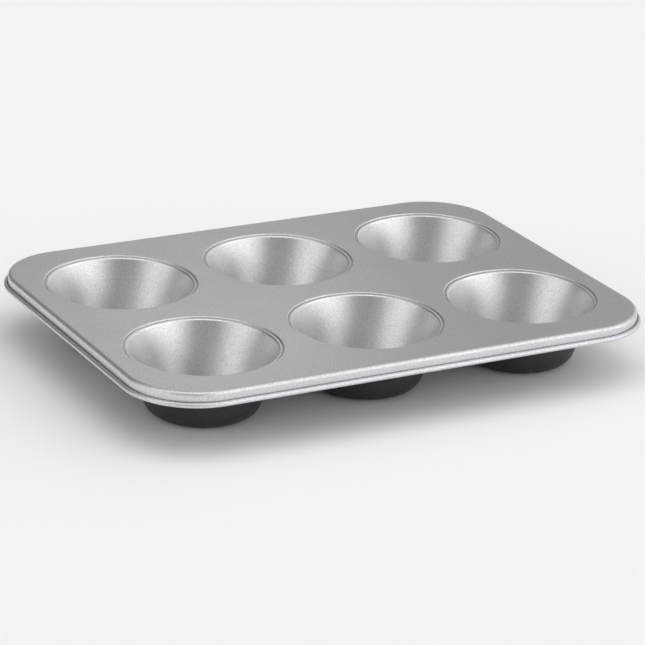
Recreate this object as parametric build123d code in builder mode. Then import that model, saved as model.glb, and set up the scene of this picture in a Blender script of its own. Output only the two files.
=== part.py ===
"""Muffin tin with six large cups: a pressed deck rolled over a rim wire, and six drawn cups seated in it.

Frame: millimetres, +Z up, +X along the long side, origin on the floor under the middle of the tin.
"""
from build123d import *
import math
import os

# ---------------------------------------------------------------- overall sizes
tin_length = 347.0        # along X, over the rolled rim
tin_width = 258.5         # along Y, over the rolled rim
tin_height = 41.0         # floor to the top of the deck
corner_radius = 42.5      # plan radius of the skirt's outer face

# ---------------------------------------------------------------- sheet and rim
sheet = 0.5               # thickness of the deck's steel
edge_radius = 2.3         # rounding from the deck's top into the skirt
rim_drop = 8.9            # deck top down to the underside of the rolled rim
wire_diameter = 2.0
wire_clearance = 0.05     # between the wire and the sheet rolled round it
wire_butt_gap = 0.6       # between the wire's two cut ends
curl_turn = 285.0         # degrees of curl, from the skirt round to the sheet's free edge

# ---------------------------------------------------------------- cup layout
cups_along = 3
cups_across = 2
end_land = 10.9           # flat left between the end cups' holes and the deck's end edges
side_land = 17.9          # flat left between the cups' holes and the deck's long edges

# ---------------------------------------------------------------- cup; a bend is its inner radius
cup_sheet = 0.5           # thickness of the cup's steel
mouth_radius = 45.0       # inside radius where the wall's line meets the flange's top
mouth_bend = 1.0          # between flange and wall
flange_flat = 0.8         # from the mouth's rounding out to the flange's edge
base_radius = 32.9        # inside radius where the wall's line meets the floor
base_bend = 10.2          # between wall and base

# ---------------------------------------------------------------- seat in the deck; bends as in the cup
lip_bend = 0.5            # between the deck's top and the step
step_flat = 0.1           # straight part of the step, between its two bends
seat_bend = 0.2           # between the step and the seat ledge
collar_length = 3.0       # seat ledge down to the collar's lower edge
flange_gap = 0.4          # open seam round the flange's edge
wall_clearance = 0.06     # between the cup's wall and the collar, which leans with it

# ---------------------------------------------------------------- worked out from the above
curl_bore = wire_diameter / 2 + wire_clearance
curl_radius = curl_bore + sheet
curl_centre_z = tin_height - rim_drop + curl_radius
skirt_length = tin_length - 4 * curl_radius + 2 * sheet
skirt_width = tin_width - 4 * curl_radius + 2 * sheet
flat_length = skirt_length - 2 * edge_radius
flat_width = skirt_width - 2 * edge_radius
flat_corner = corner_radius - edge_radius
wire_inset = curl_radius
wire_corner = corner_radius - sheet + curl_radius

flange_radius = mouth_radius + mouth_bend + flange_flat
step_radius = flange_radius + flange_gap
hole_radius = step_radius + sheet + lip_bend
seat_z = tin_height - sheet - lip_bend - step_flat - seat_bend
flange_top = seat_z + cup_sheet

wall_slope = (mouth_radius - base_radius) / (flange_top - cup_sheet)
collar_offset = (cup_sheet + wall_clearance) * math.hypot(1, wall_slope)
collar_radius = mouth_radius - wall_slope * cup_sheet + collar_offset
collar_foot_radius = collar_radius - wall_slope * collar_length
collar_bend = mouth_bend + wall_clearance - sheet

cup_pitch_x = (flat_length - 2 * end_land - 2 * hole_radius) / (cups_along - 1)
cup_pitch_y = (flat_width - 2 * side_land - 2 * hole_radius) / (cups_across - 1)


def sheet_faces(face, bends, thickness):
    """Corner radii of a bent sheet's face, and corners and radii of its back, one thickness to its right."""
    steps = [(end - start).normalized() for start, end in zip(face, face[1:])]
    rights = [Vector(step.Y, -step.X) for step in steps]
    back = [face[0] + rights[0] * thickness]
    for corner, before, after in zip(face[1:], rights, rights[1:]):
        back.append(corner + (before + after) * (thickness / (1 + before.dot(after))))
    back.append(face[-1] + rights[-1] * thickness)
    turns = [before.cross(after).Z for before, after in zip(steps, steps[1:])]
    face_bends = [bend if turn > 0 else bend + thickness for bend, turn in zip(bends, turns)]
    back_bends = [bend + thickness if turn > 0 else bend for bend, turn in zip(bends, turns)]
    return face_bends, back, back_bends


def sheet_outline(face, bends, thickness):
    """Closed edge lines, inside a BuildLine, of a sheet bent at each inner corner of its visible face."""
    face = [Vector(*point) for point in face]
    face_bends, back, back_bends = sheet_faces(face, bends, thickness)
    FilletPolyline(*face, radius=face_bends)
    FilletPolyline(*back, radius=back_bends)
    Line(face[0], back[0])
    Line(face[-1], back[-1])


def upright_plane(x, y):
    """The plane of a cup's section: local X is outward along +X from the cup's axis, local Y is up."""
    return Plane(origin=(x, y, 0), x_dir=(1, 0, 0), z_dir=(0, -1, 0))


def rounded_loop(length, width, radius, gap):
    """A rounded rectangle's line, open by a gap in the middle of the back side; a gap of 0 closes it."""
    half_length = length / 2
    half_width = width / 2
    corners = [(half_length, half_width), (half_length, -half_width)]
    corners += [(-half_length, -half_width), (-half_length, half_width)]
    if gap:
        corners = [(gap / 2, half_width)] + corners + [(-gap / 2, half_width)]
    FilletPolyline(*corners, radius=radius, close=not gap)


os.makedirs("parts", exist_ok=True)
cup_places = [place.position for place in GridLocations(cup_pitch_x, cup_pitch_y, cups_along, cups_across)]

# ---------------------------------------------------------------- deck
with BuildPart() as deck:
    with BuildSketch(Plane.XY.offset(tin_height)):
        RectangleRounded(flat_length, flat_width, flat_corner)
        with GridLocations(cup_pitch_x, cup_pitch_y, cups_along, cups_across):
            Circle(hole_radius, mode=Mode.SUBTRACT)
    extrude(amount=-sheet)

    # edge, skirt and curl, swept round the flat's outline
    with BuildLine(Plane.XY.offset(tin_height)) as flat_edge:
        rounded_loop(flat_length, flat_width, flat_corner, 0)
    rim_plane = Plane(origin=(0, -flat_width / 2, 0), x_dir=(0, -1, 0), z_dir=(-1, 0, 0))
    with BuildSketch(rim_plane) as rim_section:
        skirt_face = edge_radius
        skirt_back = edge_radius - sheet
        curl_centre = (skirt_back + curl_radius, curl_centre_z)
        with BuildLine():
            Line((0, tin_height), (0, tin_height - sheet))
            CenterArc((0, tin_height - edge_radius), edge_radius, 0, 90)
            CenterArc((0, tin_height - edge_radius), edge_radius - sheet, 0, 90)
            Line((skirt_face, tin_height - edge_radius), (skirt_face, curl_centre_z))
            Line((skirt_back, tin_height - edge_radius), (skirt_back, curl_centre_z))
            curl_out = CenterArc(curl_centre, curl_radius, 180, curl_turn)
            curl_in = CenterArc(curl_centre, curl_bore, 180, curl_turn)
            Line(curl_out @ 1, curl_in @ 1)
        make_face()
    sweep(path=flat_edge.wire())

    # lip, step, seat ledge and collar round each hole
    for centre in cup_places:
        with BuildSketch(upright_plane(centre.X, centre.Y)):
            with BuildLine():
                sheet_outline(
                    [
                        (collar_foot_radius, seat_z - collar_length),
                        (collar_radius, seat_z),
                        (step_radius, seat_z),
                        (step_radius, tin_height),
                        (hole_radius, tin_height),
                    ],
                    [collar_bend, seat_bend, lip_bend],
                    sheet,
                )
            make_face()
        revolve(axis=Axis((centre.X, centre.Y, 0), (0, 0, 1)))

deck.part.label = "deck"
export_step(deck.part, "parts/deck.step")

# ---------------------------------------------------------------- rim wire
with BuildPart() as rim_wire:
    with BuildLine(Plane.XY.offset(curl_centre_z)) as wire_route:
        rounded_loop(tin_length - 2 * wire_inset, tin_width - 2 * wire_inset, wire_corner, wire_butt_gap)
    with BuildSketch(Plane(origin=wire_route.wire() @ 0, z_dir=wire_route.wire() % 0)):
        Circle(wire_diameter / 2)
    sweep(path=wire_route.wire())

rim_wire.part.label = "rim_wire"
export_step(rim_wire.part, "parts/rim_wire.step")

# ---------------------------------------------------------------- cups
for centre in cup_places:
    row = "front" if centre.Y < 0 else "back"
    column = {-1: "left", 0: "middle", 1: "right"}[round(centre.X / cup_pitch_x)]
    name = f"cup_{row}_{column}"
    with BuildPart() as cup:
        with BuildSketch(upright_plane(centre.X, centre.Y)):
            with BuildLine():
                sheet_outline(
                    [
                        (0, cup_sheet),
                        (base_radius, cup_sheet),
                        (mouth_radius, flange_top),
                        (flange_radius, flange_top),
                    ],
                    [base_bend, mouth_bend],
                    cup_sheet,
                )
            make_face()
        revolve(axis=Axis((centre.X, centre.Y, 0), (0, 0, 1)))
    cup.part.label = name
    export_step(cup.part, f"parts/{name}.step")
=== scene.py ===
"""Looks of the six-cup muffin tin: a pressed deck rolled over its rim wire, and six drawn cups seated in it.

Metres, in the part's frame: +X along the long side, +Y to the back, +Z up, origin on the floor under the tin.
"""

import math

import bmesh
import bpy
from mathutils import Matrix, Vector


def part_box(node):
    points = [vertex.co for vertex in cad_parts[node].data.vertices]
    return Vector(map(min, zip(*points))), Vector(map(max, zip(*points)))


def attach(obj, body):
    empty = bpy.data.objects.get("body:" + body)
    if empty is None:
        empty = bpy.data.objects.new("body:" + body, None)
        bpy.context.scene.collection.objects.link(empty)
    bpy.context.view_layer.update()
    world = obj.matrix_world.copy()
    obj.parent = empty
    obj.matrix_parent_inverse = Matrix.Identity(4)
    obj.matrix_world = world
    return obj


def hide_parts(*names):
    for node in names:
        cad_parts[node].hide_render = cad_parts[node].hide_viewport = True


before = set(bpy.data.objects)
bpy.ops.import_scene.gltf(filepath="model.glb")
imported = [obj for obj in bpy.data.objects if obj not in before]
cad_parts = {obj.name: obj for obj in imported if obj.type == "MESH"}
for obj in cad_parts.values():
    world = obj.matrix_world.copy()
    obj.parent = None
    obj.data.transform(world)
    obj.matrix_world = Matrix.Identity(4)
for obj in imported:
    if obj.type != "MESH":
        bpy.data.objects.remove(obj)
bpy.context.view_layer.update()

MM = 0.001
scene = bpy.context.scene

# ---------------------------------------------------------------- sizes that the frame gives
deck_low, deck_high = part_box("deck")
wire_low, wire_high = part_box("rim_wire")
cup_boxes = {name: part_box(name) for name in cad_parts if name.startswith("cup_")}
cup_places = {name: (low + high) / 2 for name, (low, high) in cup_boxes.items()}
cup_low, cup_high = cup_boxes["cup_front_left"]

tin_length = deck_high.x - deck_low.x
tin_width = deck_high.y - deck_low.y
tin_height = deck_high.z
curl_centre_z = (wire_high.z + wire_low.z) / 2
flange_radius = (cup_high.x - cup_low.x) / 2
flange_top = cup_high.z
cup_columns = 3
cup_rows = 2
cup_pitch_x = cup_places["cup_front_middle"].x - cup_places["cup_front_left"].x
cup_pitch_y = cup_places["cup_back_left"].y - cup_places["cup_front_left"].y

# ---------------------------------------------------------------- sheet and rim
sheet = 0.5 * MM
corner_radius = 42.5 * MM       # plan radius of the skirt's outer face
edge_radius = 2.3 * MM          # from the deck's top into the skirt
curl_turn = 285.0               # degrees, from the skirt round to the sheet's free edge
cut_edge = 0.1 * MM             # how far a cut edge of the sheet is broken

curl_radius = curl_centre_z - deck_low.z
curl_bore = curl_radius - sheet
flat_length = tin_length - 4 * curl_radius + 2 * sheet - 2 * edge_radius
flat_width = tin_width - 4 * curl_radius + 2 * sheet - 2 * edge_radius
flat_corner = corner_radius - edge_radius

# ---------------------------------------------------------------- cup; a bend is the radius on its inner side
mouth_radius = 45.0 * MM        # where the wall's line meets the flange's top
mouth_bend = 1.0 * MM
base_radius = 32.9 * MM         # where the wall's line meets the floor
base_bend = 10.2 * MM

# ---------------------------------------------------------------- seat in the deck
lip_bend = 0.5 * MM
seat_bend = 0.2 * MM
flange_gap = 0.4 * MM           # between the flange's edge and the step
wall_clearance = 0.06 * MM      # between the collar and the cup's wall
collar_length = 3.0 * MM

step_radius = flange_radius + flange_gap
hole_radius = step_radius + sheet + lip_bend
seat_z = flange_top - sheet
wall_slope = (mouth_radius - base_radius) / (flange_top - sheet)
collar_radius = mouth_radius - wall_slope * sheet + (sheet + wall_clearance) * math.hypot(1, wall_slope)
collar_foot_radius = collar_radius - wall_slope * collar_length
collar_bend = mouth_bend + wall_clearance - sheet

# ---------------------------------------------------------------- fineness of the meshes
corner_steps = 40               # points round each of the tin's corners
cup_steps = 160                 # points round each cup
bend_step = math.radians(9)     # largest turn between two points of a bend
tight_step = math.radians(15)   # the same in a tight bend
tight_bend = 1.2 * MM           # bends under this radius are tight
border = 0.25 * MM              # flat strip kept beside each bend
shortest_straight = 3 * border  # a straight has to be longer than this to keep its strip
weld = 0.01 * MM

# ---------------------------------------------------------------- grain of the coats, the same on every piece
speckle_scale = 900.0           # specks are about a millimetre apart
speckle_detail = 2.0
speckle_roughness = 0.6
speckle_span = (0.3, 0.7)       # share of the noise that runs from dark to light specks
cloud_scale = 22.0
cloud_detail = 4.0
clouding = 0.25                 # how far the clouds shift the specks to light or dark
gloss_spread = 0.04             # how much a light speck is glossier, and a dark one rougher
grain_strength = 0.5


# ================================================================ section lines
def arc_points(centre, radius, start, turn):
    """Points of an arc, angles in radians, both ends included."""
    step = tight_step if radius < tight_bend else bend_step
    count = max(2, math.ceil(abs(turn) / step))
    angles = [start + turn * i / count for i in range(count + 1)]
    ways = [(math.cos(angle), math.sin(angle)) for angle in angles]
    return [Vector((centre[0] + radius * out, centre[1] + radius * up)) for out, up in ways]


def bent_line(corners, bends):
    """Points of a line whose inner corners are rounded to the given radii, with a strip beside each bend."""
    corners = [Vector(corner) for corner in corners]
    points = [corners[0]]
    for before, corner, after, bend in zip(corners, corners[1:], corners[2:], bends):
        way_in = (corner - before).normalized()
        way_out = (after - corner).normalized()
        turn = math.atan2(way_in.x * way_out.y - way_in.y * way_out.x, way_in.dot(way_out))
        tangent = bend * math.tan(abs(turn) / 2)
        to_centre = Matrix.Rotation(math.copysign(math.pi / 2, turn), 2) @ way_in
        start = corner - way_in * tangent
        centre = start + to_centre * bend
        from_centre = start - centre
        arc = arc_points(centre, bend, math.atan2(from_centre.y, from_centre.x), turn)
        if (start - points[-1]).dot(way_in) > shortest_straight:
            points.append(start - way_in * border)
        points += arc
        if (after - arc[-1]).length > shortest_straight + bend:
            points.append(arc[-1] + way_out * border)
    points.append(corners[-1])
    return points


def sheet_back(face, bends):
    """Corners of a bent sheet's back, one thickness to the right of its face, and the radii on both sides."""
    face = [Vector(corner) for corner in face]
    ways = [(end - start).normalized() for start, end in zip(face, face[1:])]
    rights = [Vector((way.y, -way.x)) for way in ways]
    back = [face[0] + rights[0] * sheet]
    for corner, before, after in zip(face[1:], rights, rights[1:]):
        back.append(corner + (before + after) * (sheet / (1 + before.dot(after))))
    back.append(face[-1] + rights[-1] * sheet)
    lefts = [before.x * after.y - before.y * after.x > 0 for before, after in zip(ways, ways[1:])]
    face_bends = [bend if left else bend + sheet for bend, left in zip(bends, lefts)]
    back_bends = [bend + sheet if left else bend for bend, left in zip(bends, lefts)]
    return back, face_bends, back_bends


def rim_section():
    """Section of the rim: out over the edge, down the skirt, round the curl, and back up the inside."""
    skirt_face = edge_radius
    skirt_back = edge_radius - sheet
    edge_centre = (0, tin_height - edge_radius)
    curl_centre = (skirt_back + curl_radius, curl_centre_z)
    sweep = math.radians(curl_turn)
    face_edge = arc_points(edge_centre, edge_radius, math.pi / 2, -math.pi / 2)
    back_edge = arc_points(edge_centre, edge_radius - sheet, 0, math.pi / 2)
    curl_inside = arc_points(curl_centre, curl_bore, math.pi, sweep)
    curl_outside = arc_points(curl_centre, curl_radius, math.pi + sweep, -sweep)
    skirt_top = Vector((skirt_face, tin_height - edge_radius - border))
    back_top = Vector((skirt_back, tin_height - edge_radius - border))
    points = [Vector((-border, tin_height))] + face_edge + [skirt_top]
    points += [Vector((skirt_face, curl_centre_z + border))] + curl_inside
    points += curl_outside + [Vector((skirt_back, curl_centre_z + border)), back_top]
    return points + back_edge + [Vector((-border, tin_height - sheet))]


def seat_section():
    """Section of a hole's lip, step, ledge and collar: inward on the top, and back along the underside."""
    face = [
        (hole_radius + border, tin_height),
        (step_radius, tin_height),
        (step_radius, seat_z),
        (collar_radius, seat_z),
        (collar_foot_radius, seat_z - collar_length),
    ]
    bends = [lip_bend, seat_bend, collar_bend]
    back, face_bends, back_bends = sheet_back(face[::-1], bends[::-1])
    return bent_line(face + back, face_bends[::-1] + [cut_edge, cut_edge] + back_bends)


def cup_section():
    """Section of a cup: from the middle of its floor up to the flange's edge, and back down the outside."""
    face = [
        (0, sheet),
        (base_radius, sheet),
        (mouth_radius, flange_top),
        (flange_radius, flange_top),
    ]
    back, face_bends, back_bends = sheet_back(face, [base_bend, mouth_bend])
    return bent_line(face + back[::-1], face_bends + [cut_edge, cut_edge] + back_bends[::-1])


# ================================================================ helpers for nodes and objects
def add(tree, kind, inputs, output=0, **settings):
    """Adds a node whose inputs are other nodes' outputs or plain values, and returns one of its outputs."""
    node = tree.nodes.new(kind)
    for name, value in settings.items():
        setattr(node, name, value)
    for name, value in inputs.items():
        if isinstance(value, bpy.types.NodeSocket):
            tree.links.new(value, node.inputs[name])
        else:
            node.inputs[name].default_value = value
    return node.outputs[output]


def in_scene(name, data):
    """A new object in the scene."""
    made = bpy.data.objects.new(name, data)
    scene.collection.objects.link(made)
    return made


# ================================================================ geometry trees
def new_tree(name, sizes):
    """A geometry tree with a named input for each size; returns it with its inputs and its output."""
    tree = bpy.data.node_groups.new(name, "GeometryNodeTree")
    tree.interface.new_socket("Geometry", in_out="OUTPUT", socket_type="NodeSocketGeometry")
    tree.interface.new_socket("Geometry", in_out="INPUT", socket_type="NodeSocketGeometry")
    for size, kind in sizes.items():
        tree.interface.new_socket(size, in_out="INPUT", socket_type="NodeSocket" + kind)
    return tree, tree.nodes.new("NodeGroupInput").outputs, tree.nodes.new("NodeGroupOutput").inputs[0]


def finished(tree, shape, coat):
    """The end of each tree: instances made real, doubles welded, faces smooth and coated."""
    real = add(tree, "GeometryNodeRealizeInstances", {"Geometry": shape})
    welded = add(tree, "GeometryNodeMergeByDistance", {"Geometry": real, "Distance": weld})
    smooth = add(tree, "GeometryNodeSetShadeSmooth", {"Geometry": welded})
    return add(tree, "GeometryNodeSetMaterial", {"Geometry": smooth, "Material": coat})


def tray_outline(tree, given):
    """A rounded rectangle's line, from the tree's own inputs."""
    sides = {"Width": given["Length"], "Height": given["Width"]}
    box = add(tree, "GeometryNodeCurvePrimitiveQuadrilateral", sides)
    corners = {"Curve": box, "Radius": given["Corner Radius"], "Count": given["Corner Steps"]}
    rounded = add(tree, "GeometryNodeFilletCurve", corners, mode="POLY")
    return add(tree, "GeometryNodeSetCurveNormal", {"Curve": rounded}, mode="Z_UP")


def grid_of(tree, shape, given):
    """A shape repeated on the cups' grid, from the tree's own inputs."""
    grid = {"Vertices X": given["Columns"], "Vertices Y": given["Rows"]}
    for side, pitch, count in (("Size X", "Pitch X", "Columns"), ("Size Y", "Pitch Y", "Rows")):
        gaps = add(tree, "ShaderNodeMath", {0: given[count], 1: 1.0}, operation="SUBTRACT")
        grid[side] = add(tree, "ShaderNodeMath", {0: given[pitch], 1: gaps}, operation="MULTIPLY")
    points = add(tree, "GeometryNodeMeshGrid", grid)
    return add(tree, "GeometryNodeInstanceOnPoints", {"Points": points, "Instance": shape})


outline_inputs = {"Length": "Float", "Width": "Float", "Corner Radius": "Float", "Corner Steps": "Int"}
grid_inputs = {"Pitch X": "Float", "Pitch Y": "Float", "Columns": "Int", "Rows": "Int"}


def rim_tree():
    """Runs a section round the tray's rounded rectangle."""
    tree, given, result = new_tree("section_round_tray", {**outline_inputs, "Coat": "Material"})
    section = add(tree, "GeometryNodeMeshToCurve", {"Mesh": given["Geometry"]})
    swept = {"Curve": tray_outline(tree, given), "Profile Curve": section}
    rim = add(tree, "GeometryNodeCurveToMesh", swept)
    tree.links.new(finished(tree, rim, given["Coat"]), result)
    return tree


def turning_tree():
    """Turns a section round the axis of every hole or cup on the grid, with another coat on its outside."""
    sizes = {"Turn Radius": "Float", "Turn Steps": "Int", **grid_inputs}
    coats = {"Coat": "Material", "Outer Coat": "Material"}
    tree, given, result = new_tree("section_round_cups", {**sizes, **coats})
    section = add(tree, "GeometryNodeMeshToCurve", {"Mesh": given["Geometry"]})
    circle = {"Resolution": given["Turn Steps"], "Radius": given["Turn Radius"]}
    ring = add(tree, "GeometryNodeCurvePrimitiveCircle", circle)
    level = add(tree, "GeometryNodeSetCurveNormal", {"Curve": ring}, mode="Z_UP")
    turned = add(tree, "GeometryNodeCurveToMesh", {"Curve": level, "Profile Curve": section})
    coated = finished(tree, grid_of(tree, turned, given), given["Coat"])
    outside = add(tree, "GeometryNodeInputNamedAttribute", {"Name": "outside"})
    outer = {"Geometry": coated, "Selection": outside, "Material": given["Outer Coat"]}
    tree.links.new(add(tree, "GeometryNodeSetMaterial", outer), result)
    return tree


def flat_tree():
    """The flat sheet between the rim's edge and the holes, at one height."""
    sizes = {**outline_inputs, "Hole Radius": "Float", "Hole Steps": "Int", **grid_inputs}
    tree, given, result = new_tree("flat_with_holes", {**sizes, "Height": "Float", "Coat": "Material"})
    circle = {"Resolution": given["Hole Steps"], "Radius": given["Hole Radius"]}
    holes = grid_of(tree, add(tree, "GeometryNodeCurvePrimitiveCircle", circle), given)
    real_holes = add(tree, "GeometryNodeRealizeInstances", {"Geometry": holes})
    lines = tree.nodes.new("GeometryNodeJoinGeometry")
    for line in (tray_outline(tree, given), real_holes):
        tree.links.new(line, lines.inputs[0])
    filled = add(tree, "GeometryNodeFillCurve", {"Curve": lines.outputs[0]}, mode="TRIANGLES")
    rise = add(tree, "ShaderNodeCombineXYZ", {"Z": given["Height"]})
    raised = add(tree, "GeometryNodeTransform", {"Geometry": filled, "Translation": rise})
    tree.links.new(finished(tree, raised, given["Coat"]), result)
    return tree


def run_tree(tree, sizes, section=(), outside_from=None):
    """Runs a tree on a section line and returns a plain mesh.

    The section's points are (out, up). A sweep points a section's Y down, so up is stored as -Y.
    Points from outside_from on are its outside.
    """
    line = bpy.data.meshes.new("section")
    edges = [(i, i + 1) for i in range(len(section) - 1)]
    line.from_pydata([(out, -up, 0) for out, up in section], edges, [])
    if outside_from is not None:
        outside = line.attributes.new("outside", "FLOAT", "POINT")
        outside.data.foreach_set("value", [float(i >= outside_from) for i in range(len(section))])
    holder = in_scene("holder", line)
    modifier = holder.modifiers.new(tree.name, "NODES")
    modifier.node_group = tree
    for item in tree.interface.items_tree:
        if item.in_out == "INPUT" and item.name in sizes:
            modifier[item.identifier] = sizes[item.name]
    graph = bpy.context.evaluated_depsgraph_get()
    mesh = bpy.data.meshes.new_from_object(holder.evaluated_get(graph))
    bpy.data.objects.remove(holder)
    return mesh


def piece(name, meshes):
    """One closed, outward-facing object from the meshes, welded where they meet."""
    shape = bmesh.new()
    for mesh in meshes:
        shape.from_mesh(mesh)
    bmesh.ops.remove_doubles(shape, verts=shape.verts, dist=weld)
    bmesh.ops.recalc_face_normals(shape, faces=shape.faces)
    whole = bpy.data.meshes.new(name)
    shape.to_mesh(whole)
    shape.free()
    for coat in meshes[0].materials:
        whole.materials.append(coat)
    return in_scene(name, whole)


# ================================================================ coats
def coat_material(name, light, dark, metallic, roughness, grain_depth):
    """A finish of fine light and dark specks with faint broad clouds and an orange-peel surface."""
    material = bpy.data.materials.new(name)
    material.use_nodes = True
    tree = material.node_tree
    shader = tree.nodes["Principled BSDF"]
    place = add(tree, "ShaderNodeTexCoord", {}, output="Object")
    fine = {"Scale": speckle_scale, "Detail": speckle_detail, "Roughness": speckle_roughness}
    speckle = add(tree, "ShaderNodeTexNoise", {"Vector": place, **fine})
    broad = {"Scale": cloud_scale, "Detail": cloud_detail}
    cloud = add(tree, "ShaderNodeTexNoise", {"Vector": place, **broad})
    span = {"Value": speckle, "From Min": speckle_span[0], "From Max": speckle_span[1]}
    specks = add(tree, "ShaderNodeMapRange", span)
    shift = add(tree, "ShaderNodeMapRange", {"Value": cloud, "To Min": -clouding, "To Max": clouding})
    mottle = add(tree, "ShaderNodeMath", {0: specks, 1: shift}, operation="ADD", use_clamp=True)
    ramp = tree.nodes.new("ShaderNodeValToRGB")
    ramp.color_ramp.elements[0].color = (*dark, 1)
    ramp.color_ramp.elements[1].color = (*light, 1)
    tree.links.new(mottle, ramp.inputs[0])
    tree.links.new(ramp.outputs[0], shader.inputs["Base Color"])
    gloss = {"Value": mottle, "To Min": roughness + gloss_spread, "To Max": roughness - gloss_spread}
    tree.links.new(add(tree, "ShaderNodeMapRange", gloss), shader.inputs["Roughness"])
    bump = {"Height": speckle, "Strength": grain_strength, "Distance": grain_depth}
    tree.links.new(add(tree, "ShaderNodeBump", bump), shader.inputs["Normal"])
    shader.inputs["Metallic"].default_value = metallic
    return material


deck_coat = coat_material(
    "deck_coat",
    light=(0.79, 0.8, 0.825),
    dark=(0.6, 0.61, 0.63),
    metallic=0.9,
    roughness=0.4,
    grain_depth=0.028 * MM,
)
cup_silver = coat_material(
    "cup_silver",
    light=(0.84, 0.84, 0.845),
    dark=(0.66, 0.66, 0.67),
    metallic=0.95,
    roughness=0.32,
    grain_depth=0.04 * MM,
)
cup_charcoal = coat_material(
    "cup_charcoal",
    light=(0.045, 0.045, 0.047),
    dark=(0.02, 0.02, 0.021),
    metallic=0.0,
    roughness=0.45,
    grain_depth=0.03 * MM,
)
wire_steel = coat_material(
    "wire_steel",
    light=(0.55, 0.55, 0.56),
    dark=(0.45, 0.45, 0.46),
    metallic=1.0,
    roughness=0.3,
    grain_depth=0.01 * MM,
)


# ================================================================ the tin
def outline_sizes(inset):
    """Sizes of the line round the deck's flat, moved inward by an inset."""
    return {
        "Length": flat_length - 2 * inset,
        "Width": flat_width - 2 * inset,
        "Corner Radius": flat_corner - inset,
        "Corner Steps": corner_steps,
    }


def from_ring(section):
    """A section measured from a cup's axis, moved to be measured from the ring it is turned on."""
    return [(point.x - mouth_radius, point.y) for point in section]


cup_grid = {"Pitch X": cup_pitch_x, "Pitch Y": cup_pitch_y, "Columns": cup_columns, "Rows": cup_rows}
single = {"Pitch X": 0.0, "Pitch Y": 0.0, "Columns": 1, "Rows": 1}
turning = {"Turn Radius": mouth_radius, "Turn Steps": cup_steps}
hole = {"Hole Radius": hole_radius + border, "Hole Steps": cup_steps}

turner = turning_tree()
rim_mesh = run_tree(rim_tree(), {**outline_sizes(0), "Coat": deck_coat}, rim_section())
seat_coats = {"Coat": deck_coat, "Outer Coat": deck_coat}
seat_mesh = run_tree(turner, {**cup_grid, **turning, **seat_coats}, from_ring(seat_section()))
deck_parts = [rim_mesh, seat_mesh]
flat = flat_tree()
for height in (tin_height, tin_height - sheet):
    level = {"Height": height, "Coat": deck_coat}
    deck_parts.append(run_tree(flat, {**outline_sizes(border), **cup_grid, **hole, **level}))
pressed_deck = piece("pressed_deck", deck_parts)

cup_line = cup_section()
flange_tip = max(range(len(cup_line)), key=lambda i: cup_line[i].x)
cup_coats = {"Coat": cup_silver, "Outer Coat": cup_charcoal}
cup_mesh = run_tree(turner, {**single, **turning, **cup_coats}, from_ring(cup_line), flange_tip + 1)
cups = {}
for name, place in cup_places.items():
    cup = piece("drawn_" + name, [cup_mesh])
    cup.data.transform(Matrix.Translation((place.x, place.y, 0)))
    cups[name] = cup

rim_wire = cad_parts["rim_wire"]
rim_wire.data.materials.clear()
rim_wire.data.materials.append(wire_steel)

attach(pressed_deck, "root")
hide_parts("deck")
for name, cup in cups.items():
    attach(cup, "root")
    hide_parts(name)

# ================================================================ studio floor
half_floor = 8.0
floor_colour = (0.96, 0.96, 0.96, 1)
floor_roughness = 0.9

floor_mesh = bpy.data.meshes.new("studio_floor")
floor_corners = [(-half_floor, -half_floor, 0), (half_floor, -half_floor, 0)]
floor_corners += [(half_floor, half_floor, 0), (-half_floor, half_floor, 0)]
floor_mesh.from_pydata(floor_corners, [], [(0, 1, 2, 3)])
studio_floor = in_scene("studio_floor", floor_mesh)
floor_material = bpy.data.materials.new("floor_paint")
floor_material.use_nodes = True
floor_shader = floor_material.node_tree.nodes["Principled BSDF"]
floor_shader.inputs["Base Color"].default_value = floor_colour
floor_shader.inputs["Roughness"].default_value = floor_roughness
floor_shader.inputs["Specular IOR Level"].default_value = 0.0
floor_mesh.materials.append(floor_material)

# ================================================================ studio lights and camera
camera_azimuth = -28.82
camera_elevation = 21.03
camera_roll = 2.27
camera_distance = 1.86712
camera_lens = 172.9
camera_sensor = 36.0
camera_reach = 50.0
looked_at = Vector((-0.02708, -0.05281, 0.04127))

# softboxes far away: azimuth, elevation, half-angle of the bright middle, half-angle of its soft edge,
# and brightness
softboxes = {
    "right": (camera_azimuth + 68, 20, 11, 50, 1.45),
    "left": (camera_azimuth - 62, 24, 8, 42, 1.08),
    "overhead": (camera_azimuth, 86, 8, 42, 1.35),
    "front": (camera_azimuth, 15, 10, 45, 0.29),
    "behind": (camera_azimuth + 180, 14, 8, 40, 0.28),
    "behind_right": (camera_azimuth + 125, 20, 10, 50, 0.8),
    "behind_left": (camera_azimuth - 125, 20, 10, 50, 0.1),
}
room_brightness = 0.03

panel_size = 0.3
panel_power = 0.14
panel_place = Vector((0.15, 0.47, 0.42))

floor_light_strength = 0.43
floor_light_angle = 100.0


def direction(azimuth, elevation):
    """Unit vector from the tin: azimuth 0 is the front, growing to the right; elevation above the floor."""
    a = math.radians(azimuth)
    e = math.radians(elevation)
    return Vector((math.sin(a) * math.cos(e), -math.cos(a) * math.cos(e), math.sin(e)))


def light_only(light, name, objects):
    """Makes a light fall on the given objects alone."""
    lit = bpy.data.collections.new(name)
    for lit_object in objects:
        lit.objects.link(lit_object)
    light.light_linking.receiver_collection = lit


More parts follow.
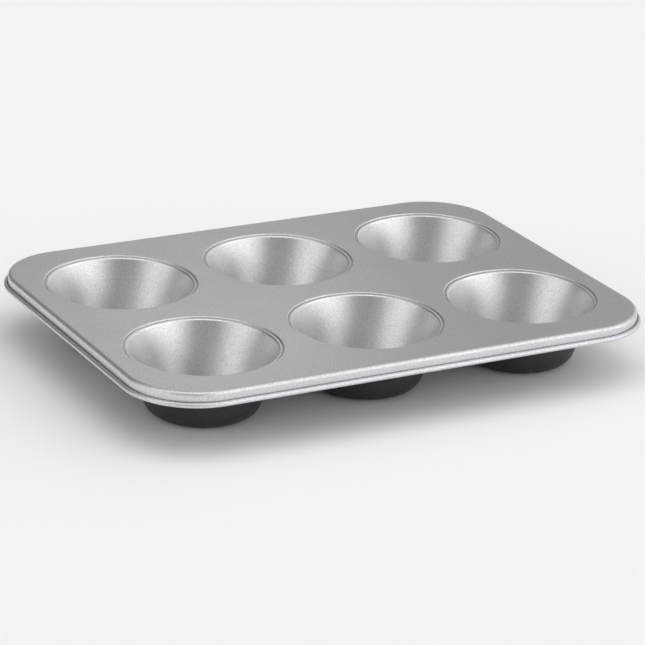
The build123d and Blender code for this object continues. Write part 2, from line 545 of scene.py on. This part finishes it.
world = bpy.data.worlds.new("studio")
scene.world = world
world.use_nodes = True
sky = world.node_tree
way = add(sky, "ShaderNodeTexCoord", {}, output="Generated")
total = room_brightness
for azimuth, elevation, middle, soft_edge, brightness in softboxes.values():
    ends = {0: way, 1: direction(azimuth, elevation)}
    facing = add(sky, "ShaderNodeVectorMath", ends, output="Value", operation="DOT_PRODUCT")
    lobe = {
        "Value": facing,
        "From Min": math.cos(math.radians(soft_edge)),
        "From Max": math.cos(math.radians(middle)),
        "To Max": brightness,
    }
    glow = add(sky, "ShaderNodeMapRange", lobe, interpolation_type="SMOOTHSTEP")
    total = add(sky, "ShaderNodeMath", {0: total, 1: glow}, operation="ADD")
sky.links.new(total, sky.nodes["Background"].inputs["Strength"])
sky.nodes["Background"].inputs["Color"].default_value = (1, 1, 1, 1)

# a small panel behind the tin lights the tin alone, so that the deck is brightest at its near left corner
panel_data = bpy.data.lights.new("back_panel", "AREA")
panel_data.shape = "SQUARE"
panel_data.size = panel_size
panel_data.energy = panel_power
panel = in_scene("back_panel", panel_data)
panel_turn = panel_place.to_track_quat("Z", "Y").to_matrix().to_4x4()
panel.matrix_world = Matrix.Translation(panel_place) @ panel_turn
panel.visible_camera = False
light_only(panel, "lit_by_panel", [pressed_deck, rim_wire, *cups.values()])

# a wide light straight above lights the floor alone, so that the deck seen from above isn't burnt out
floor_light_data = bpy.data.lights.new("floor_light", "SUN")
floor_light_data.energy = floor_light_strength
floor_light_data.angle = math.radians(floor_light_angle)
floor_light = in_scene("floor_light", floor_light_data)
light_only(floor_light, "lit_floor", [studio_floor])

back = direction(camera_azimuth, camera_elevation)
right = (-back).cross(Vector((0, 0, 1))).normalized()
up = right.cross(-back)
roll = math.radians(camera_roll)
across = right * math.cos(roll) + up * math.sin(roll)
upward = up * math.cos(roll) - right * math.sin(roll)
camera_turn = Matrix((across, upward, back)).transposed().to_4x4()
camera_data = bpy.data.cameras.new("camera")
camera_data.lens = camera_lens
camera_data.sensor_width = camera_sensor
camera_data.clip_end = camera_reach
camera = in_scene("camera", camera_data)
camera.matrix_world = Matrix.Translation(looked_at + back * camera_distance) @ camera_turn
scene.camera = camera

scene.view_settings.view_transform = "Standard"
scene.view_settings.look = "None"
